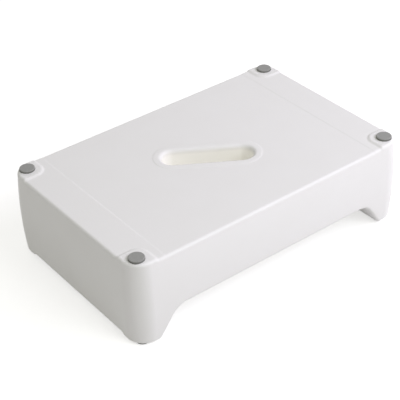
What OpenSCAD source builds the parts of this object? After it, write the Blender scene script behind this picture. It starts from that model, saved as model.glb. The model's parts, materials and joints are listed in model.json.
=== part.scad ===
// Reversible step stool: a hollow moulded bridge with a hand slot through it,
// and eight rubber plugs, four on the upper tread's corners and four under the legs.
// Either way up it stands on four plugs: the deck is the high tread, and the arch's
// underside becomes the low tread when the stool is turned over.
// Frame: millimetres, origin on the floor under the middle, X along the long side,
// Y to the back and Z up.

/* [Body] */
// Length over the end walls, at their widest halfway up
body_l = 424; // [350:2:520]
// Width over the front and back walls, at their widest halfway up
body_w = 273; // [226:1:340]
// Height of the upper tread above the floor
tread_h = 118; // [98:0.5:160]
// Radius of the four upright corners, at their widest
corner_r = 27.5; // [22:0.5:38]
// Radius along the top edge
top_edge_r = 4; // [2:0.5:6]
// Radius along the bottom edge
bottom_edge_r = 5; // [1:0.5:6]
// How far the bowed walls draw in towards the top and the bottom
wall_draft = 2.5; // [0:0.5:4]

/* [Arch] */
// Height of the lower tread, the arch's underside, above the floor
arch_h = 40; // [33:0.5:60]
// Distance from a foot's disc to the corner that the leg's slope would reach at its toe
toe_land = 7; // [0:0.5:12]
// Angle of the leg's inner slope above the floor
leg_slope = 57; // [50:1:70]
// Radius where the underside turns down into a leg
arch_r = 25; // [16:1:30]
// Radius at the bottom of the leg's inner slope
leg_toe_r = 8; // [6:0.5:9]
// Radius of the edge between the arch and the front and back walls
arch_edge_r = 4; // [1:0.5:5]

/* [Raised corners] */
// Level ground between a deck pad and the raised corner's flank
boss_land = 7; // [3:0.5:12]
// Height of a raised corner above the tread
boss_rise = 2; // [1.5:0.5:5]
// Radius of its inner corner in plan, at the foot of the flank
boss_r = 18; // [10:1:22]
// Width of the soft flank
flank_w = 4.5; // [3:0.5:6]

/* [End strips] */
// How far the slightly raised strip at each end reaches past the raised corners
strip_lead = 9.5; // [3:0.5:20]
// Height of the strip above the tread
strip_rise = 0.45; // [0.2:0.05:1]

/* [Hand slot] */
// Length of the slot between its rounded ends' outermost points
slot_l = 117; // [100:1:130]
// Width of the slot
slot_w = 31; // [26:1:40]
// Turn of the slot from the long side
slot_turn = -32.7; // [-45:0.1:45]
// Radius of the slot's mouth, at the deck and at the underside
mouth_r = 5; // [2:0.5:8]
// Width of the slightly raised lip around the mouth
lip_w = 7; // [4:0.5:12]
// Height of the lip above the tread
lip_rise = 0.45; // [0.2:0.05:1]

/* [Rubber plugs] */
// Diameter of a plug's disc
plug_d = 19.5; // [16:0.5:21]
// How far a disc stands out of a raised corner of the tread
pad_proud = 3; // [2:0.5:6]
// How far a disc stands out under a leg
foot_proud = 1.5; // [1:0.5:6]
// Distance from a plug's disc to the upright corner's outline beside it
plug_margin = 5; // [3:0.5:8]
// Diameter of the stem that is pressed into the body
stem_d = 8; // [5:0.5:10]
// Length of the stem
stem_l = 12; // [8:1:20]
// Depth of the round seat around the disc
seat_depth = 1; // [0.8:0.1:2]
// Gap around the disc and the stem, and past the stem's end
plug_gap = 0.15; // [0.05:0.05:0.3]

/* [End relief] */
// Height of the end walls' bottom edge above the legs' bottoms
relief_rise = 3.2; // [1:0.1:4]
// Distance from a foot's disc to the start of the relief's slope
relief_land = 4.5; // [2:0.5:10]
// Length along Y of the slope up to the relieved edge
relief_slope = 8; // [4:1:16]

/* [Hidden] */
leg_bottom = foot_proud;
boss_top = tread_h + boss_rise;
strip_top = tread_h + strip_rise;
lip_top = tread_h + lip_rise;
bow_top = tread_h - top_edge_r;
bow_bottom = leg_bottom + bottom_edge_r;
half_l = body_l / 2;
half_w = body_w / 2;
// A plug's centre lies on the diagonal of the upright corner, this far from both walls
plug_inset = corner_r - (corner_r - plug_margin - plug_d / 2) / sqrt(2);
plug_x = half_l - plug_inset;
plug_y = half_w - plug_inset;
toe_x = plug_x - plug_d / 2 - toe_land;
// Size of a raised corner from both walls to the foot of its flank
boss_size = plug_inset + plug_d / 2 + boss_land + flank_w;
flank_steps = 8;
edge_steps = 6;
bow_steps = 6;
arch_steps = 12;
toe_steps = 6;
slope_steps = 4;
// Overlap that lets one solid cut or join another cleanly
bite = 1;
smooth = 64;

// How far the wall has drawn in at height z: a shallow bow, widest halfway up
function drawn_in(z) = wall_draft * pow(min(1, abs(2 * z - bow_top - bow_bottom) / (bow_top - bow_bottom)), 2);

// A smooth step from 0 to 1, level at both ends
function ease(t) = t * t * (3 - 2 * t);

// The outer wall from the bottom edge to a top at the given height, as [set-in, height]
function wall_profile(top) = concat(
    [for (i = [0 : edge_steps])
        [drawn_in(bow_bottom) + bottom_edge_r * (1 - sin(90 * i / edge_steps)),
         leg_bottom + bottom_edge_r * (1 - cos(90 * i / edge_steps))]],
    [for (i = [1 : bow_steps]) let (z = bow_bottom + (bow_top - bow_bottom) * i / bow_steps)
        [drawn_in(z), z]],
    [for (i = [(top > tread_h ? 0 : 1) : edge_steps])
        [wall_draft + top_edge_r * (1 - cos(90 * i / edge_steps)),
         top - top_edge_r * (1 - sin(90 * i / edge_steps))]]);

// A soft flank that climbs from the tread to the given top, as [set-in, height]
function flank_profile(width, top) = concat(
    [[0, tread_h - 2 * top_edge_r]],
    [for (i = [0 : flank_steps])
        [width * i / flank_steps, tread_h + (top - tread_h) * ease(i / flank_steps)]]);

// A plain plate with a bevelled rim that climbs from the tread to the given top
function rim_profile(width, top) = [[0, tread_h - 2 * top_edge_r], [0, tread_h], [width, top]];

// The slot's wall from under the arch to over the lip, with both mouths rounded out
function slot_profile() = concat(
    [[-mouth_r, arch_h - bite]],
    [for (i = [0 : edge_steps])
        [-mouth_r * (1 - sin(90 * i / edge_steps)), arch_h + mouth_r * (1 - cos(90 * i / edge_steps))]],
    [for (i = [0 : edge_steps])
        [-mouth_r * (1 - cos(90 * i / edge_steps)), lip_top - mouth_r * (1 - sin(90 * i / edge_steps))]],
    [[-mouth_r, lip_top + bite]]);

// A slab whose wall follows one profile all the way round a rounded rectangle.
// The profile runs upwards as [set-in from the rectangle, height].
module rounded_slab(l, w, r, profile) {
    section = concat([[0, profile[0][1]]],
                     [for (p = profile) [r - p[0], p[1]]],
                     [[0, profile[len(profile) - 1][1]]]);
    rail = concat([for (p = profile) [w / 2 - p[0], p[1]]],
                  [for (i = [len(profile) - 1 : -1 : 0]) [profile[i][0] - w / 2, profile[i][1]]]);
    rotate([90, 0, 90])
        linear_extrude(height = l - 2 * r, center = true)
            polygon(rail);
    for (turn = [0, 180])
        rotate([0, 0, turn])
            translate([l / 2 - r, 0, 0]) {
                if (w > 2 * r)
                    rotate([90, 0, 0])
                        linear_extrude(height = w - 2 * r, center = true)
                            polygon(section);
                for (side = [0, 1])
                    translate([0, (side - 0.5) * (w - 2 * r), 0])
                        rotate([0, 0, (side - 1) * 90])
                            rotate_extrude(angle = 90, $fn = smooth)
                                polygon(section);
            }
}

// The full plan of the stool up to one level, with its bowed walls and rounded edges
module walls_to(top) {
    rounded_slab(body_l, body_w, corner_r, wall_profile(top));
}

// The four raised corners, which take the tread's plugs
module raised_corners() {
    intersection() {
        walls_to(boss_top);
        for (x = [-1, 1], y = [-1, 1])
            translate([x * half_l, y * half_w, 0])
                rounded_slab(2 * boss_size, 2 * boss_size, boss_r, flank_profile(flank_w, boss_top));
    }
}

// The slightly raised strips between the raised corners at both ends
module end_strips() {
    intersection() {
        walls_to(strip_top);
        for (x = [-1, 1])
            translate([x * half_l, 0, 0])
                rounded_slab(2 * (boss_size + strip_lead), body_w - 2 * boss_size + 2 * flank_w,
                             top_edge_r, rim_profile(flank_w / 3, strip_top));
    }
}

// The slightly raised lip around the hand slot
module slot_lip() {
    rotate([0, 0, slot_turn])
        rounded_slab(slot_l + 2 * (mouth_r + lip_w), slot_w + 2 * (mouth_r + lip_w),
                     slot_w / 2 + mouth_r + lip_w, rim_profile(flank_w / 3, lip_top));
}

// The tunnel of the hand slot, as the solid that it takes away
module slot_tunnel() {
    rotate([0, 0, slot_turn])
        rounded_slab(slot_l, slot_w, slot_w / 2, slot_profile());
}

// Right half of the arch's outline, from the middle out to a leg, as [x, z, normal x, normal z].
// The underside turns down through arch_r, runs down the leg and rounds out at the toe.
slope_x = cos(leg_slope);
slope_z = sin(leg_slope);
toe_reach = leg_toe_r * tan(leg_slope / 2);
turn_reach = arch_r * tan(leg_slope / 2);
shoulder_x = toe_x - (arch_h - leg_bottom) / tan(leg_slope);
slope_top = [shoulder_x + turn_reach * slope_x, arch_h - turn_reach * slope_z];
slope_end = [toe_x - toe_reach * slope_x, leg_bottom + toe_reach * slope_z];
half_outline = concat(
    [for (i = [0 : arch_steps]) let (a = leg_slope * i / arch_steps)
        [shoulder_x - turn_reach + arch_r * sin(a), arch_h - arch_r * (1 - cos(a)), sin(a), cos(a)]],
    [for (i = [1 : slope_steps - 1])
        let (p = slope_top + (slope_end - slope_top) * i / slope_steps)
        [p[0], p[1], slope_z, slope_x]],
    [for (i = [0 : toe_steps - 1]) let (a = leg_slope * (1 - i / toe_steps))
        [toe_x + toe_reach - leg_toe_r * sin(a), leg_bottom + leg_toe_r * (1 - cos(a)), sin(a), cos(a)]]);
last_out = half_outline[len(half_outline) - 1];

// The whole outline, anticlockwise seen from the front, closed below the floor
outline = concat(
    [for (p = half_outline) [-p[0], p[1], -p[2], p[3]]],
    [[-last_out[0], -2 * bite, 0, 0], [last_out[0], -2 * bite, 0, 0]],
    [for (i = [len(half_outline) - 1 : -1 : 0]) half_outline[i]]);

// The arch's sections through the stool, as [side, depth behind the wall, growth of the outline].
// Beside each wall the outline grows outwards on a quarter circle, which rounds the edge.
sections = concat(
    [[-1, -4 * bite, arch_edge_r]],
    [for (i = [0 : edge_steps]) let (a = 90 * i / edge_steps)
        [-1, arch_edge_r * (1 - cos(a)), arch_edge_r * (1 - sin(a))]],
    [for (i = [edge_steps : -1 : 0]) let (a = 90 * i / edge_steps)
        [1, arch_edge_r * (1 - cos(a)), arch_edge_r * (1 - sin(a))]],
    [[1, -4 * bite, arch_edge_r]]);

// The space under the arch, as the solid that it takes away.
// Each section follows the draw of the front and back walls, so the rounded edge does too.
module arch_space() {
    rows = len(sections);
    count = len(outline);
    points = [for (s = sections, p = outline)
        let (z = p[1] + s[2] * p[3])
        [p[0] + s[2] * p[2], s[0] * (half_w - drawn_in(z) - s[1]), z]];
    sides = [for (j = [0 : rows - 2], i = [0 : count - 1]) let (k = (i + 1) % count)
        each [[j * count + i, j * count + k, (j + 1) * count + k],
              [j * count + i, (j + 1) * count + k, (j + 1) * count + i]]];
    front = [[for (i = [count - 1 : -1 : 0]) i]];
    back = [[for (i = [0 : count - 1]) (rows - 1) * count + i]];
    polyhedron(points = points, faces = concat(front, sides, back));
}

// The relief that lifts the end walls' bottom edges off the floor between the legs' lands
module end_relief() {
    low = plug_y - plug_d / 2 - relief_land;
    rotate([90, 0, 90])
        linear_extrude(height = body_l + 2 * bite, center = true)
            polygon([[-low, leg_bottom - bite], [-low, leg_bottom],
                     [relief_slope - low, leg_bottom + relief_rise],
                     [low - relief_slope, leg_bottom + relief_rise],
                     [low, leg_bottom], [low, leg_bottom - bite]]);
}

// A plug's seat and blind socket, facing up from z = 0
module plug_seat() {
    translate([0, 0, -seat_depth])
        cylinder(d = plug_d + 2 * plug_gap, h = seat_depth + bite, $fn = smooth);
    translate([0, 0, -seat_depth - stem_l - plug_gap])
        cylinder(d = stem_d + 2 * plug_gap, h = stem_l + plug_gap + bite, $fn = smooth);
}

// One rubber plug, facing up from a surface at z = 0: a disc in its seat with a stem below
module plug(proud) {
    disc_r = plug_d / 2;
    brim_r = 0.8;
    tip = 1;
    rotate_extrude($fn = smooth)
        polygon(concat(
            [[0, -seat_depth - stem_l], [stem_d / 2 - tip, -seat_depth - stem_l],
             [stem_d / 2, -seat_depth - stem_l + tip], [stem_d / 2, -seat_depth],
             [disc_r, -seat_depth]],
            [for (i = [0 : edge_steps])
                [disc_r - brim_r * (1 - cos(90 * i / edge_steps)),
                 proud - brim_r * (1 - sin(90 * i / edge_steps))]],
            [[0, proud]]));
}

module body() {
    color([0.91, 0.905, 0.9])
        difference() {
            union() {
                walls_to(tread_h);
                raised_corners();
                end_strips();
                slot_lip();
            }
            arch_space();
            slot_tunnel();
            end_relief();
            for (x = [-1, 1], y = [-1, 1]) {
                translate([x * plug_x, y * plug_y, boss_top])
                    plug_seat();
                translate([x * plug_x, y * plug_y, leg_bottom])
                    mirror([0, 0, 1])
                        plug_seat();
            }
        }
}

// A plug on a raised corner of the tread
module deck_pad(x, y) {
    color([0.58, 0.58, 0.57])
        translate([x * plug_x, y * plug_y, boss_top])
            plug(pad_proud);
}

// A plug under a leg
module foot(x, y) {
    color([0.58, 0.58, 0.57])
        translate([x * plug_x, y * plug_y, leg_bottom])
            mirror([0, 0, 1])
                plug(foot_proud);
}

body();
deck_pad(-1, -1);  // deck_pad_front_left
deck_pad(1, -1);  // deck_pad_front_right
deck_pad(-1, 1);  // deck_pad_back_left
deck_pad(1, 1);  // deck_pad_back_right
foot(-1, -1);  // foot_front_left
foot(1, -1);  // foot_front_right
foot(-1, 1);  // foot_back_left
foot(1, 1);  // foot_back_right
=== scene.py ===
# %% [markdown]
# # A reversible step stool
# The real stool is one hollow moulding in satin white polyethylene, with a hand slot through
# it and eight grey rubber plugs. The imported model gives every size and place, so it is loaded
# first and stays as the frame. Each finer piece made below takes the place of one of its
# nodes. All lengths in the cells are in millimetres, and one factor turns them into metres.

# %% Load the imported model
import json
import math

import bmesh
import bpy
import numpy as np
from mathutils import Matrix, Vector
from mathutils.geometry import delaunay_2d_cdt

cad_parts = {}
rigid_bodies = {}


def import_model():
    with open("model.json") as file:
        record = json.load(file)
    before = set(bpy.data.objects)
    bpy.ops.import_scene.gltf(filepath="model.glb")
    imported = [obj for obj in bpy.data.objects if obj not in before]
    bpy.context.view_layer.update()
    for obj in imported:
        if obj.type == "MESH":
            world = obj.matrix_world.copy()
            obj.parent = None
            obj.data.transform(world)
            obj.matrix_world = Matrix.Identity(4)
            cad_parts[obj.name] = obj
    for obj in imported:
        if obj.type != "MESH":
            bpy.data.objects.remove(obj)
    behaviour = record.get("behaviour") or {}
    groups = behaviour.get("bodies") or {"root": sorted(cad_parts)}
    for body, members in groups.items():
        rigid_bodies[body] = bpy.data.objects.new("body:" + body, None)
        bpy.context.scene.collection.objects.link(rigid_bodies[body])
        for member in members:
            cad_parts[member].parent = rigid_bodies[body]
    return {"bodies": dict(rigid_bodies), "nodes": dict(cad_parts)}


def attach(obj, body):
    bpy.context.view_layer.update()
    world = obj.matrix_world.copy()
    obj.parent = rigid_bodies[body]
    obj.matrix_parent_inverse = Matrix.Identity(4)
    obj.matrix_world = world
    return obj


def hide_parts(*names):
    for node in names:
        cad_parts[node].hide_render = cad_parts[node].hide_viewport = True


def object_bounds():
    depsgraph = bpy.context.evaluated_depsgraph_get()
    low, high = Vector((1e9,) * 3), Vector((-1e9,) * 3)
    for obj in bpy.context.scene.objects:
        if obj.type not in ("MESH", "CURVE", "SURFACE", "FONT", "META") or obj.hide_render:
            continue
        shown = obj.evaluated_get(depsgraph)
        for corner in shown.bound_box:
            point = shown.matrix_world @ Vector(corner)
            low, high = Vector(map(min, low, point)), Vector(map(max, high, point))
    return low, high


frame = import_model()
MM = 0.001
cad_box = [[float(v) for v in corner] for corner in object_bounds()]
print("nodes:", sorted(frame["nodes"]))
print("box in mm:", [[round(v / MM, 1) for v in corner] for corner in cad_box])

# %% [markdown]
# ## Camera
# The photograph was taken from the front left and above, with a long lens. Three angles and a
# place were fitted to the edges of the tread and to the four rubber discs. A matrix of the
# camera's right, up and backward directions says this exactly, where aiming at a target
# would lose the small roll.

# %% Set the camera
YAW, PITCH, ROLL = np.radians([36.467, 35.286, -2.338])
PLACE = (-0.7576, -1.0051, 0.9390)
LENS = 107.03


def photo_camera():
    """The view looks along (sin yaw cos pitch, cos yaw cos pitch, -sin pitch), rolled about itself."""
    ahead = np.array([math.sin(YAW) * math.cos(PITCH), math.cos(YAW) * math.cos(PITCH), -math.sin(PITCH)])
    level = np.array([math.cos(YAW), -math.sin(YAW), 0.0])
    above = np.cross(level, ahead)
    right = math.cos(ROLL) * level + math.sin(ROLL) * above
    up = math.cos(ROLL) * above - math.sin(ROLL) * level
    lens = bpy.data.cameras.new("camera")
    lens.sensor_width, lens.lens = 36, LENS
    camera = bpy.data.objects.new("camera", lens)
    bpy.context.scene.collection.objects.link(camera)
    rows = np.eye(4)
    rows[:3] = np.column_stack([right, up, -ahead, PLACE])
    camera.matrix_world = Matrix(rows.tolist())
    bpy.context.scene.camera = camera
    return camera


photo_camera()
print("lens", LENS, "mm, yaw, pitch and roll", np.degrees([YAW, PITCH, ROLL]).round(1))

# %% [markdown]
# ## Shader arithmetic
# A material in Blender is a graph, and long graphs are hard to read as a list of links. Here a
# socket is wrapped in a small class with Python's operators, so that `0.4 + 0.1 * noise` adds
# the two Math nodes by itself. Every other kind of node comes from one method.

# %% A class for sockets and one for materials


class Value:
    """A node's output. Arithmetic on it adds one Math node for each operator."""

    def __init__(self, tree, socket):
        self.tree, self.socket = tree, socket

    def __add__(self, other):
        return self.tree.add("ShaderNodeMath", {"operation": "ADD"}, [self, other])

    def __sub__(self, other):
        return self.tree.add("ShaderNodeMath", {"operation": "SUBTRACT"}, [self, other])

    def __rsub__(self, other):
        return self.tree.add("ShaderNodeMath", {"operation": "SUBTRACT"}, [other, self])

    def __mul__(self, other):
        return self.tree.add("ShaderNodeMath", {"operation": "MULTIPLY"}, [self, other])

    __radd__, __rmul__ = __add__, __mul__


class Finish:
    """A material whose nodes are added one by one. Inputs are numbers, colours or Values."""

    def __init__(self, name, owner=None):
        self.owner = owner or bpy.data.materials.new(name)
        self.owner.use_nodes = True
        self.nodes, self.links = self.owner.node_tree.nodes, self.owner.node_tree.links
        self.nodes.clear()

    def add(self, kind, settings=None, inputs=(), output=0):
        node = self.nodes.new(kind)
        for key, value in (settings or {}).items():
            setattr(node, key, value)
        for key, value in inputs.items() if isinstance(inputs, dict) else enumerate(inputs):
            if isinstance(value, Value):
                self.links.new(value.socket, node.inputs[key])
            else:
                node.inputs[key].default_value = value
        return Value(self, node.outputs[output]) if len(node.outputs) else None

    def place(self):
        """Where a point of the surface is, in metres in the object's own axes."""
        return self.add("ShaderNodeTexCoord", output="Object")

    def noise(self, scale, detail=2.0, roughness=0.5):
        """Soft random hills from 0 to 1, this many to the metre."""
        inputs = {"Vector": self.place(), "Scale": scale, "Detail": detail, "Roughness": roughness}
        return self.add("ShaderNodeTexNoise", inputs=inputs)

    def mix(self, factor, first, second):
        """A colour between two, by a factor from 0 to 1."""
        inputs = {"Factor": factor, 6: first, 7: second}
        return self.add("ShaderNodeMix", {"data_type": "RGBA"}, inputs, output=2)

    def part(self, axis):
        """One part of the place: 0 for x, 1 for y and 2 for z."""
        return self.add("ShaderNodeSeparateXYZ", inputs=[self.place()], output=axis)

    def step(self, value, slope):
        """A ramp that starts where the value is 0, held between 0 and 1."""
        return self.add("ShaderNodeMath", {"operation": "MULTIPLY", "use_clamp": True}, [value, slope])

    def surface(self, shader):
        self.add("ShaderNodeOutputMaterial", inputs={"Surface": shader})
        return self.owner


# %% [markdown]
# ## Satin white polyethylene
# Rotationally moulded polyethylene comes out of its mould slightly milky. Its skin is satin,
# with a very fine grain from the blasted mould, and soft hills of a tenth of a millimetre
# where the wall cooled unevenly. Three noises at those sizes drive the bump and, far more
# weakly, the gloss and the colour. An image would show its pixels up close, and these don't.
#
# This plastic also lets some light through. The tunnel of the hand slot gets light from inside
# the hollow wall as well, and looks cream where a solid block would look grey. A weak warm
# glow on the tunnel alone stands in for that light.

# %% The body's finish
SKIN = {"grain": 1400.0, "peel": 260.0, "cloud": 18.0}
MILK, CREAM = (0.872, 0.862, 0.850, 1), (0.850, 0.838, 0.820, 1)
SLOT_L, SLOT_W, SLOT_TURN = 117.0, 31.0, math.radians(-32.7)
GLOW_TOP, GLOW_DEPTH, GLOW_MARGIN = 116.5, 6.0, 1.0
DARK, THROUGH_LIGHT = (0, 0, 0, 1), (0.127, 0.123, 0.100, 1)


def in_tunnel(f):
    """1 on the tunnel's wall and 0 elsewhere. The slot's own axes are turned in the plan, and a
    difference of squares ends the glow a little outside the wall."""
    x, y, z = f.part(0), f.part(1), f.part(2)
    c, s = math.cos(SLOT_TURN), math.sin(SLOT_TURN)
    along, across = x * c + y * s, y * c - x * s
    reach, width = (SLOT_L / 2 + GLOW_MARGIN) * MM, (SLOT_W / 2 + GLOW_MARGIN) * MM
    ends = f.step(reach * reach - along * along, 1 / (reach * GLOW_MARGIN * MM))
    sides = f.step(width * width - across * across, 1 / (width * GLOW_MARGIN * MM))
    return ends * sides * f.step(GLOW_TOP * MM - z, 1 / (GLOW_DEPTH * MM))


def polyethylene():
    """Satin white: grain and orange peel in the bump, slow clouds in the colour and the gloss."""
    f = Finish("white_polyethylene")
    grain, peel = f.noise(SKIN["grain"], 3), f.noise(SKIN["peel"], 2)
    cloud = f.noise(SKIN["cloud"], 3, 0.6)
    height = 0.35 * grain + 0.65 * peel + 1.5 * cloud
    bump = f.add("ShaderNodeBump", inputs={"Strength": 0.30, "Distance": 0.0002, "Height": height})
    shader = f.add("ShaderNodeBsdfPrincipled", inputs={
        "Base Color": f.mix(cloud, MILK, CREAM),
        "Roughness": 0.36 + 0.14 * cloud + 0.06 * peel,
        "Specular IOR Level": 0.45,
        "Emission Color": f.mix(in_tunnel(f), DARK, THROUGH_LIGHT),
        "Emission Strength": 1.0,
        "Normal": bump})
    return f.surface(shader)


white = polyethylene()
print("white:", len(white.node_tree.nodes), "nodes")

# %% [markdown]
# ## Matt grey rubber
# The plugs are moulded thermoplastic rubber. Their skin is matt, with a fine pebble grain, and
# the filler shows as slightly lighter and darker specks. Below the top of the deck plugs the colour
# turns darker: painted shade on their sides, and on the whole of each foot.

# %% The plugs' finish
DARK_RUBBER, PALE_RUBBER = (0.260, 0.260, 0.246, 1), (0.385, 0.385, 0.368, 1)
# The darker grey is painted shade for the plugs' sides.
SHADED_SIDE_RUBBER = (0.190, 0.190, 0.176, 1)
SIDE_SHADE_FROM, SIDE_SHADE_TO = 1.1, 0.5


def rubber():
    """Matt grey: specks in the colour with painted shade on the sides, and a pebble grain in the bump and
    the gloss.
    """
    f = Finish("grey_rubber")
    speck, pebble = f.noise(900.0, 2, 0.7), f.noise(2200.0, 2, 0.6)
    # Below the deck plugs' tops the colour turns darker grey: painted shade on the sides, and on the
    # whole of each foot, which lies lower still.
    start = cad_box[1][2] - SIDE_SHADE_FROM * MM
    clear_of_side_shade = f.step(f.part(2) - start, 1 / ((SIDE_SHADE_FROM - SIDE_SHADE_TO) * MM))
    bump = f.add("ShaderNodeBump", inputs={
        "Strength": 0.45, "Distance": 0.0002, "Height": 0.6 * pebble + 0.4 * speck})
    shader = f.add("ShaderNodeBsdfPrincipled", inputs={
        "Base Color": f.mix(clear_of_side_shade, SHADED_SIDE_RUBBER, f.mix(speck, DARK_RUBBER, PALE_RUBBER)),
        "Roughness": 0.62 + 0.2 * pebble,
        "Specular IOR Level": 0.35,
        "Normal": bump})
    return f.surface(shader)


grey = rubber()
print("rubber:", len(grey.node_tree.nodes), "nodes")

# %% [markdown]
# ## The body's heights
# Seen from above, the stool is a rounded rectangle, and every point of it has one height on
# top and one height underneath. So the whole moulding is two height fields on one plan. The
# top one holds the level tread, a faint step to each end strip and the four raised corners
# with their soft flanks.

# %% Height of the top surface
HALF_L, HALF_W, CORNER_R = 212.0, 136.5, 27.5
TREAD, TOP_EDGE, DRAFT = 118.0, 4.0, 2.5
BOSS, BOSS_RISE, BOSS_R, FLANK = 39.73, 2.0, 18.0, 5.5
STRIP_X, STRIP_RISE, STRIP_RAMP = 162.5, 0.30, 3.0


def ease(t):
    """A smooth step from 0 to 1: three t squared less two t cubed."""
    t = np.clip(t, 0, 1)
    return t * t * (3 - 2 * t)


def top_height(x, y):
    """The tread, plus the higher of the end strip's step and the raised corner's eased flank.
    A flank climbs with the distance inside a square with rounded corners at the stool's corner."""
    across, along = HALF_L - np.abs(x) - BOSS + BOSS_R, HALF_W - np.abs(y) - BOSS + BOSS_R
    outside = np.hypot(np.maximum(across, 0), np.maximum(along, 0)) - BOSS_R
    inside = -outside - np.minimum(np.maximum(across, along), 0)
    strip = STRIP_RISE * ease((np.abs(x) - STRIP_X) / STRIP_RAMP)
    return TREAD + np.maximum(BOSS_RISE * ease(inside / FLANK), strip)


print("top in mm:", top_height(np.array([0, 180, 200.0]), np.array([0, 0, 125.0])).round(2))

# %% [markdown]
# ## The arch
# Underneath, the height is the arch's outline: level in the middle, a wide turn, a slope down
# each leg and a small turn at its toe. The outline is worked out once as a fine line of points
# with the angle of each, and interpolation reads it anywhere. The end walls' bottom edges
# stand a little higher than the legs' own lands, so the stool never rocks on its walls.

# %% Height of the underside
LEG, ARCH, ARCH_R, TOE_R = 1.5, 40.0, 25.0, 8.0
SLOPE = math.radians(57)
TOE_X = 176.77
RELIEF, RELIEF_Y, RELIEF_RUN = 3.2, 103.77, 8.0


def arch_line():
    """Half the outline as x, z and angle: two arcs tangent to the slope between them."""
    turn = np.linspace(0, SLOPE, 25)
    shoulder = TOE_X - (ARCH - LEG) / math.tan(SLOPE)
    start, end = shoulder - ARCH_R * math.tan(SLOPE / 2), TOE_X + TOE_R * math.tan(SLOPE / 2)
    x = np.concatenate([start + ARCH_R * np.sin(turn), end - TOE_R * np.sin(turn[::-1])])
    z = np.concatenate([ARCH - ARCH_R * (1 - np.cos(turn)), LEG + TOE_R * (1 - np.cos(turn[::-1]))])
    return x, z, np.concatenate([turn, turn[::-1]])


LINE_X, LINE_Z, LINE_TURN = arch_line()


def under_height(x, y):
    """The higher of the arch's outline and the leg's bottom with the end wall's relief."""
    relief = RELIEF * ease((RELIEF_Y - np.abs(y)) / RELIEF_RUN)
    return np.maximum(np.interp(np.abs(x), LINE_X, LINE_Z), LEG + relief)


def under_turn(x, y):
    """The outline's angle where the arch rules the height, and none where the leg does."""
    ruled = np.interp(np.abs(x), LINE_X, LINE_Z) >= under_height(x, y) - 1e-6
    return np.where(ruled, np.interp(np.abs(x), LINE_X, LINE_TURN), 0)


print("arch from", LINE_X[0].round(1), "to", LINE_X[-1].round(1), "mm")

# %% [markdown]
# ## One plan for both fields
# A plain grid has square corners. Each corner square of this one is bent into a quarter disc,
# and lines are close together only where something curves, with a few flat ones beside each
# curve to keep the shading of the level parts clean.

# %% The plan grid
INSET = 8.5
CORNER = np.array([HALF_L - CORNER_R, HALF_W - CORNER_R])
INNER_R = CORNER_R - INSET
HOLE_X, HOLE_Y = 80.0, 60.0


def ticks(*runs):
    """Positions from 0 outwards, from runs of (end, number of steps), mirrored to both sides."""
    ends = np.array([0] + [end for end, _ in runs], float)
    steps = [np.linspace(a, b, n + 1)[1:] for a, b, (_, n) in zip(ends, ends[1:], runs)]
    half = np.concatenate(steps)
    return np.concatenate([-half[::-1], [0], half])


def bent_plan(xs, ys):
    """In a corner square, x = u sqrt(1 - v v / 2) and y = v sqrt(1 - u u / 2), as shares of its side."""
    x, y = np.meshgrid(xs, ys, indexing="ij")
    u = np.maximum(np.abs(x) - CORNER[0], 0) / INNER_R
    v = np.maximum(np.abs(y) - CORNER[1], 0) / INNER_R
    bent_x = np.sign(x) * (CORNER[0] + INNER_R * u * np.sqrt(1 - v * v / 2))
    bent_y = np.sign(y) * (CORNER[1] + INNER_R * v * np.sqrt(1 - u * u / 2))
    return np.where(u > 0, bent_x, x), np.where(v > 0, bent_y, y)


XS = ticks((HOLE_X, 8), (136, 6), (138, 2), (161.5, 20), (166, 9), (170, 4), (CORNER[0], 19),
           (CORNER[0] + INNER_R, 22))
YS = ticks((HOLE_Y, 6), (90, 3), (94, 3), (CORNER[1], 20), (CORNER[1] + INNER_R, 22))
PLAN_X, PLAN_Y = bent_plan(XS, YS)
print("plan grid", PLAN_X.shape)

# %% [markdown]
# ## From grids to one closed shell
# Rows of points that follow each other round the outline are called loops here. Two loops with
# as many points are joined by a ring of four-sided faces. The shell's edge is a stack of such
# loops: round the top edge, down the slightly bowed wall, and round the bottom edge to the
# underside. No points are doubled, so no seam shows.

# %% Loops and rings


def border(index, x0, x1, y0, y1):
    """The grid indices round a block, anticlockwise from above."""
    block = index[x0:x1 + 1, y0:y1 + 1]
    return np.concatenate([block[:-1, 0], block[-1, :-1], block[:0:-1, -1], block[0, :0:-1]])


def ring(lower, upper):
    """Four-sided faces between two closed loops."""
    return np.column_stack([lower, np.roll(lower, -1), np.roll(upper, -1), upper])


def cells(index, keep):
    """Four-sided faces of a grid, where keep says so."""
    quads = np.stack([index[:-1, :-1], index[1:, :-1], index[1:, 1:], index[:-1, 1:]], -1)
    return quads[keep]


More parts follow.
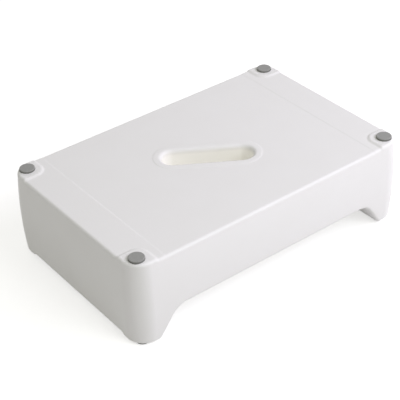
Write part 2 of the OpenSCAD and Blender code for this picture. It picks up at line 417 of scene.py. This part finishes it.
class Shell:
    """Points and faces that are collected stack by stack."""

    def __init__(self):
        self.points, self.quads, self.threes, self.count = [], [], [], 0

    def add(self, x, y, z):
        """Adds points of any grid shape, and returns their indices in that shape."""
        x, y, z = np.broadcast_arrays(x, y, z)
        self.points.append(np.stack([x.ravel(), y.ravel(), z.ravel()], -1))
        index = self.count + np.arange(x.size).reshape(x.shape)
        self.count += x.size
        return index

    def stack(self, loops):
        self.quads += [ring(a, b) for a, b in zip(loops, loops[1:])]

    def mesh(self, name):
        """Drops the unused points and makes the mesh, in metres, with its faces turned outwards."""
        points, quads = np.concatenate(self.points), np.concatenate(self.quads)
        threes = np.concatenate(self.threes) if self.threes else np.zeros((0, 3), int)
        used = np.unique(np.concatenate([quads.ravel(), threes.ravel()]))
        new = np.zeros(len(points), int)
        new[used] = np.arange(len(used))
        mesh = bpy.data.meshes.new(name)
        mesh.from_pydata((points[used] * MM).tolist(), [], new[quads].tolist() + new[threes].tolist())
        bm = bmesh.new()
        bm.from_mesh(mesh)
        bmesh.ops.recalc_face_normals(bm, faces=bm.faces)
        open_edges = sum(1 for edge in bm.edges if not edge.is_manifold)
        print(name, len(bm.faces), "faces,", open_edges, "open edges, volume",
              round(bm.calc_volume(signed=True) * 1e6, 1), "cm3")
        bm.to_mesh(mesh)
        bm.free()
        mesh.shade_smooth()
        return mesh


# %% [markdown]
# ## The wall and its rounded edges
# A wall of a hollow moulding is never quite flat: it bows out a little halfway up. The rounded
# edge under the arch needs care. On the steep leg it has to grow at right angles to the
# outline and not straight up, or it would look pinched.

# %% Build the edges and the wall
LEG_EDGE, ARCH_EDGE, RING = 5.0, 4.0, 0.6
BOW_TOP, BOW_LOW = TREAD - TOP_EDGE, LEG + LEG_EDGE
QUARTER = np.linspace(0, math.pi / 2, 9)


def bow(z):
    """How far the wall has drawn in at height z: a parabola, nothing halfway up."""
    return DRAFT * np.minimum(np.abs(2 * z - BOW_TOP - BOW_LOW) / (BOW_TOP - BOW_LOW), 1) ** 2


def outline(border_x, border_y):
    """For each border point, the middle of its corner arc or its foot, and its outward direction."""
    x, y = PLAN_X.ravel()[border_x], PLAN_Y.ravel()[border_y]
    foot = np.stack([np.clip(x, -CORNER[0], CORNER[0]), np.clip(y, -CORNER[1], CORNER[1])])
    return foot, (np.stack([x, y]) - foot) / INNER_R


def build_sides(shell, top, under, foot, out):
    """Loops from the top field's border over the edge, down the wall and under it."""
    reach = foot + out * (CORNER_R - DRAFT - TOP_EDGE - RING)
    loops = [top, shell.add(*reach, top_height(*reach))]
    for a in QUARTER:
        at = foot + out * (CORNER_R - DRAFT - TOP_EDGE * (1 - math.sin(a)))
        loops.append(shell.add(*at, top_height(*at) - TOP_EDGE * (1 - math.cos(a))))
    high = top_height(*at) - TOP_EDGE
    base = foot + out * (CORNER_R - DRAFT - LEG_EDGE)
    edge = ARCH_EDGE + (LEG_EDGE - ARCH_EDGE) * ease((np.abs(base[0]) - TOE_X) / TOE_R)
    turn, floor = under_turn(*base), under_height(*base)
    lean = np.stack([np.sign(base[0]) * np.sin(turn), np.zeros(len(turn))])
    rounds = []
    for a in QUARTER:
        grown, depth = edge * (1 - math.cos(a)), edge * (1 - math.sin(a))
        z = floor + grown * np.cos(turn)
        rounds.append((foot + out * (CORNER_R - bow(z) - depth) + lean * grown, z))
    low, shift = rounds[-1][1], lean * edge
    for w in np.linspace(0, 1, 15)[1:-1]:
        z = high + (low - high) * w
        at = foot + out * (CORNER_R - bow(z)) + shift * w
        loops.append(shell.add(*at, z))
    loops += [shell.add(*at, z) for at, z in reversed(rounds)]
    shell.stack(loops + [under])


# %% [markdown]
# ## The hand slot
# The slot is a stadium: two straight sides and two half circles. Its section is the same all
# the way round: a slight lip on the tread, a rounded mouth, the tunnel's wall, and a rounded
# mouth again under the arch. That section is carried along the stadium. The level ground
# between the stadium and the grid is filled with flat triangles, which need no order.

# %% Build the slot
MOUTH, LIP_W, LIP_RISE, LIP_RAMP = 5.0, 7.0, 0.40, 2.0
LEVEL = 1.5


def stadium(grow):
    """Points round the slot, grown outwards by a distance: half circles of 40 steps, sides of 12."""
    half, r = (SLOT_L - SLOT_W) / 2, SLOT_W / 2 + grow
    a = np.linspace(-math.pi / 2, math.pi / 2, 41)
    x = np.concatenate([half + r * np.cos(a), -half - r * np.cos(a)])
    y = np.concatenate([r * np.sin(a), -r * np.sin(a)])
    side = np.linspace(half, -half, 13)[1:-1]
    x = np.concatenate([x[:41], side, x[41:], -side])
    y = np.concatenate([y[:41], np.full(11, r), y[41:], np.full(11, -r)])
    c, s = math.cos(SLOT_TURN), math.sin(SLOT_TURN)
    return x * c - y * s, x * s + y * c


def slot_section():
    """The section from the tread over the lip and down the tunnel, as (growth, height)."""
    rim, lip = MOUTH + LIP_W, TREAD + LIP_RISE
    ramp = np.linspace(0, 1, 7)
    section = [(rim + LEVEL, TREAD)] + [(rim - LIP_RAMP * t, TREAD + LIP_RISE * ease(t)) for t in ramp]
    section += [(MOUTH + LEVEL, lip)]
    section += [(MOUTH * (1 - math.sin(a)), lip - MOUTH * (1 - math.cos(a))) for a in QUARTER]
    section += [(0, ARCH + MOUTH + (lip - ARCH - 2 * MOUTH) * t) for t in (0.98, 0.66, 0.33, 0.02)]
    section += [(MOUTH * (1 - math.cos(a)), ARCH + MOUTH * (1 - math.sin(a))) for a in QUARTER]
    return section + [(MOUTH + LEVEL, ARCH), (MOUTH + 2 * LEVEL, ARCH)]


def fill_flat(shell, outer, inner):
    """Triangles on the level ground between two loops. The inner loop bulges everywhere, so a
    triangle with all three corners on it lies over the slot, and is dropped."""
    points = np.concatenate(shell.points)
    loop = np.concatenate([outer, inner])
    n, m = len(outer), len(inner)
    pairs = [(i, (i + 1) % n) for i in range(n)] + [(n + i, n + (i + 1) % m) for i in range(m)]
    flat = [Vector(p) for p in points[loop, :2].tolist()]
    _, _, faces, origins, _, _ = delaunay_2d_cdt(flat, pairs, [], 1, 1e-5)
    same = np.array([o[0] for o in origins])
    threes = loop[same[np.array(faces)]]
    shell.threes.append(threes[~np.isin(threes, inner).all(1)])


def build_body():
    """The whole moulding: two fields, the sides round them and the slot through them."""
    shell = Shell()
    top = shell.add(PLAN_X, PLAN_Y, top_height(PLAN_X, PLAN_Y))
    under = shell.add(PLAN_X, PLAN_Y, under_height(PLAN_X, PLAN_Y))
    mid_x, mid_y = (XS[1:] + XS[:-1]) / 2, (YS[1:] + YS[:-1]) / 2
    keep = ~((np.abs(mid_x) < HOLE_X)[:, None] & (np.abs(mid_y) < HOLE_Y)[None, :])
    shell.quads += [cells(top, keep), cells(under, keep)]
    last_x, last_y = len(XS) - 1, len(YS) - 1
    grid = np.arange(PLAN_X.size).reshape(PLAN_X.shape)
    edge = border(grid, 0, last_x, 0, last_y)
    build_sides(shell, top.ravel()[edge], under.ravel()[edge], *outline(edge, edge))
    x0, x1 = np.searchsorted(XS, [-HOLE_X - 0.1, HOLE_X - 0.1])
    y0, y1 = np.searchsorted(YS, [-HOLE_Y - 0.1, HOLE_Y - 0.1])
    hole = border(grid, x0, x1, y0, y1)
    loops = [shell.add(*stadium(grow), z) for grow, z in slot_section()]
    shell.stack(loops)
    fill_flat(shell, top.ravel()[hole], loops[0])
    fill_flat(shell, under.ravel()[hole], loops[-1])
    return shell.mesh("body_skin")


body_mesh = build_body()

# %% [markdown]
# ## Rubber plugs and their seats
# Each plug is a turned piece: a disc with a rounded brim and a stem that is pressed into the
# moulding. A profile is spun round its axis as one grid of angle against profile point. The
# round seats that the discs sit in are cut out of the body with an exact Boolean, because a
# circle across the grid and the rounded corner can't be laid out as a tidy loop.

# %% Spin the plugs and cut the seats
PLUG_X, PLUG_Y, PLUG_R, BRIM = 193.516, 118.016, 9.75, 0.9
STEM_R, STEM_L, SEAT, GAP = 4.0, 12.0, 1.0, 0.15
BOSS_TOP, PAD_PROUD = TREAD + BOSS_RISE, 3.0
TURNS, TIGHT, CUT_ABOVE, MIDDLE_R = 96, 0.3, 3.0, 1.0
SIDES = {"front_left": (-1, -1), "front_right": (1, -1), "back_left": (-1, 1), "back_right": (1, 1)}


def spin(shell, profile, x, y, z, up):
    """Profile points (radius, height) turned about an upright axis. The two ends are closed by
    a fan of faces round a middle point."""
    a = np.arange(TURNS) * (2 * math.pi / TURNS)
    loops = [shell.add(x + r * np.cos(a), y + r * np.sin(a), z + up * h) for r, h in profile]
    shell.stack(loops)
    for loop, (_, h) in ((loops[0], profile[0]), (loops[-1], profile[-1])):
        middle = np.full(TURNS, shell.add(x, y, z + up * h).item())
        shell.threes.append(np.column_stack([loop, np.roll(loop, -1), middle]))


def plug_profile(proud):
    """From the stem's tip up to the disc's brim and in over its level top."""
    brim = [(PLUG_R - BRIM * (1 - math.cos(a)), proud - BRIM * (1 - math.sin(a))) for a in QUARTER]
    low, chamfer = -SEAT - STEM_L, 1.0
    stem = [(STEM_R - chamfer - TIGHT, low), (STEM_R - chamfer, low), (STEM_R, low + chamfer)]
    stem += [(STEM_R, -SEAT - TIGHT), (STEM_R, -SEAT), (STEM_R + TIGHT, -SEAT)]
    disc = [(PLUG_R - TIGHT, -SEAT), (PLUG_R, -SEAT), (PLUG_R, -SEAT + TIGHT)]
    return stem + disc + brim + [(PLUG_R - BRIM - TIGHT, proud), (STEM_R, proud)]


def plug(name, x, y, z, up, proud):
    shell = Shell()
    spin(shell, plug_profile(proud), x, y, z, up)
    return shell.mesh(name)


def cut_seats(mesh):
    """The body less eight shallow discs and their sockets."""
    tool = Shell()
    for x, y in SIDES.values():
        for z, up in ((BOSS_TOP, 1), (LEG, -1)):
            low = -SEAT - STEM_L - GAP
            profile = [(MIDDLE_R, low), (STEM_R + GAP, low), (STEM_R + GAP, -SEAT)]
            profile += [(PLUG_R + GAP, -SEAT), (PLUG_R + GAP, CUT_ABOVE), (MIDDLE_R, CUT_ABOVE)]
            spin(tool, profile, x * PLUG_X, y * PLUG_Y, z, up)
    cutter = bpy.data.objects.new("seat_cutter", tool.mesh("seat_cutter"))
    body = bpy.data.objects.new("moulded_body", mesh)
    for thing in (cutter, body):
        bpy.context.scene.collection.objects.link(thing)
    cut = body.modifiers.new("seats", "BOOLEAN")
    cut.operation, cut.solver, cut.object = "DIFFERENCE", "EXACT", cutter
    ready = body.evaluated_get(bpy.context.evaluated_depsgraph_get())
    finished = bpy.data.meshes.new_from_object(ready)
    body.modifiers.clear()
    body.data = finished
    bpy.data.objects.remove(cutter)
    return body


body = cut_seats(body_mesh)
print("body with seats:", len(body.data.polygons), "faces")

# %% [markdown]
# ## Putting the pieces in the frame
# Each piece hides the node it stands for, rides on the body it moves with and gets its finish.
# Shading is smooth except across edges sharper than a set angle, such as a seat's rim.

# %% Place and shade every piece, and hide the node it replaces
SHARP = math.radians(38)


def declare(piece, material, node):
    """Gives a piece its shading and finish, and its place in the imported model."""
    piece.data.shade_smooth()
    piece.data.set_sharp_from_angle(angle=SHARP)
    piece.data.materials.clear()
    piece.data.materials.append(material)
    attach(piece, ROOT)
    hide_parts(node)


ROOT = next(iter(frame["bodies"]))
declare(body, white, "body")
ENDS = {"deck_pad_": (BOSS_TOP, 1, PAD_PROUD), "foot_": (LEG, -1, LEG)}
for side, (x, y) in SIDES.items():
    for kind, (z, up, proud) in ENDS.items():
        node = kind + side
        skin = plug("rubber_" + node, x * PLUG_X, y * PLUG_Y, z, up, proud)
        piece = bpy.data.objects.new("rubber_" + node, skin)
        bpy.context.scene.collection.objects.link(piece)
        declare(piece, grey, node)
print("pieces ride on", ROOT)

# %% [markdown]
# ## Floor, world and lamps
# Two soft lamps stand in front, one of them well to the right, and white walls send back the
# rest. The lit sides lean faintly to violet and the shaded end wall to yellow, as the tints say.
# The floor is pale and takes the stool's shadow. Only rays that come straight from the camera,
# or by a mirror-like reflection, see it brightened to white, so the background is clean and no
# light is added to the stool.

# %% The floor and the world
FLOOR_GLOW, SKY = 0.60, 0.475


def seen(f):
    """1 for a ray that comes from the camera or by a sharp reflection, and 0 for any other."""
    camera, glossy, through = (f.add("ShaderNodeLightPath", output=kind) for kind in (
        "Is Camera Ray", "Is Glossy Ray", "Is Transmission Ray"))
    total = camera + glossy + through
    return f.add("ShaderNodeMath", {"operation": "MINIMUM"}, [total, 1.0])


def floor_finish():
    """Pale matt board, with a glow that only the camera and reflections see."""
    f = Finish("floor_white")
    board = f.add("ShaderNodeBsdfDiffuse", inputs={"Color": (0.68, 0.675, 0.66, 1)})
    bright = f.add("ShaderNodeEmission", inputs={"Color": (1, 1, 1, 1), "Strength": seen(f) * FLOOR_GLOW})
    return f.surface(f.add("ShaderNodeAddShader", inputs=[board, bright]))


def add_floor():
    half = 6.0
    mesh = bpy.data.meshes.new("floor")
    corners = [(-half, -half, 0), (half, -half, 0), (half, half, 0), (-half, half, 0)]
    mesh.from_pydata(corners, [], [(0, 1, 2, 3)])
    mesh.materials.append(floor_finish())
    floor = bpy.data.objects.new("floor", mesh)
    bpy.context.scene.collection.objects.link(floor)


def add_world():
    world = bpy.data.worlds.new("studio")
    bpy.context.scene.world = world
    f = Finish("studio", world)
    sky = f.add("ShaderNodeBackground", inputs={"Color": (1.000, 1.000, 0.944, 1), "Strength": SKY})
    white_wall = f.add("ShaderNodeBackground", inputs={"Color": (1, 1, 1, 1), "Strength": 1.0})
    both = f.add("ShaderNodeMixShader", inputs=[seen(f), sky, white_wall])
    f.add("ShaderNodeOutputWorld", inputs={"Surface": both})


add_floor()
add_world()
print("sky", SKY, "floor glow", FLOOR_GLOW)

# %% The lamps
LAMPS = {
    "key": {"place": (1.54, -0.96, 1.48), "size": 1.0, "power": 19.5, "tint": (0.851, 0.795, 1.000)},
    "front": {"place": (0.47, -1.75, 1.48), "size": 1.0, "power": 18.3, "tint": (0.937, 0.960, 1.000)},
}


def add_lamp(name, place, size, power, tint):
    """A square soft lamp that faces the middle of the stool."""
    light = bpy.data.lights.new(name, "AREA")
    light.energy, light.size, light.color = power, size, tint
    lamp = bpy.data.objects.new(name, light)
    bpy.context.scene.collection.objects.link(lamp)
    lamp.location = place
    lamp.rotation_euler = (Vector((0, 0, 0.06)) - Vector(place)).to_track_quat("-Z", "Y").to_euler()


for name, lamp in LAMPS.items():
    add_lamp(name, **lamp)
bpy.context.scene.view_settings.view_transform = "Standard"
print("lamps:", ", ".join(LAMPS))
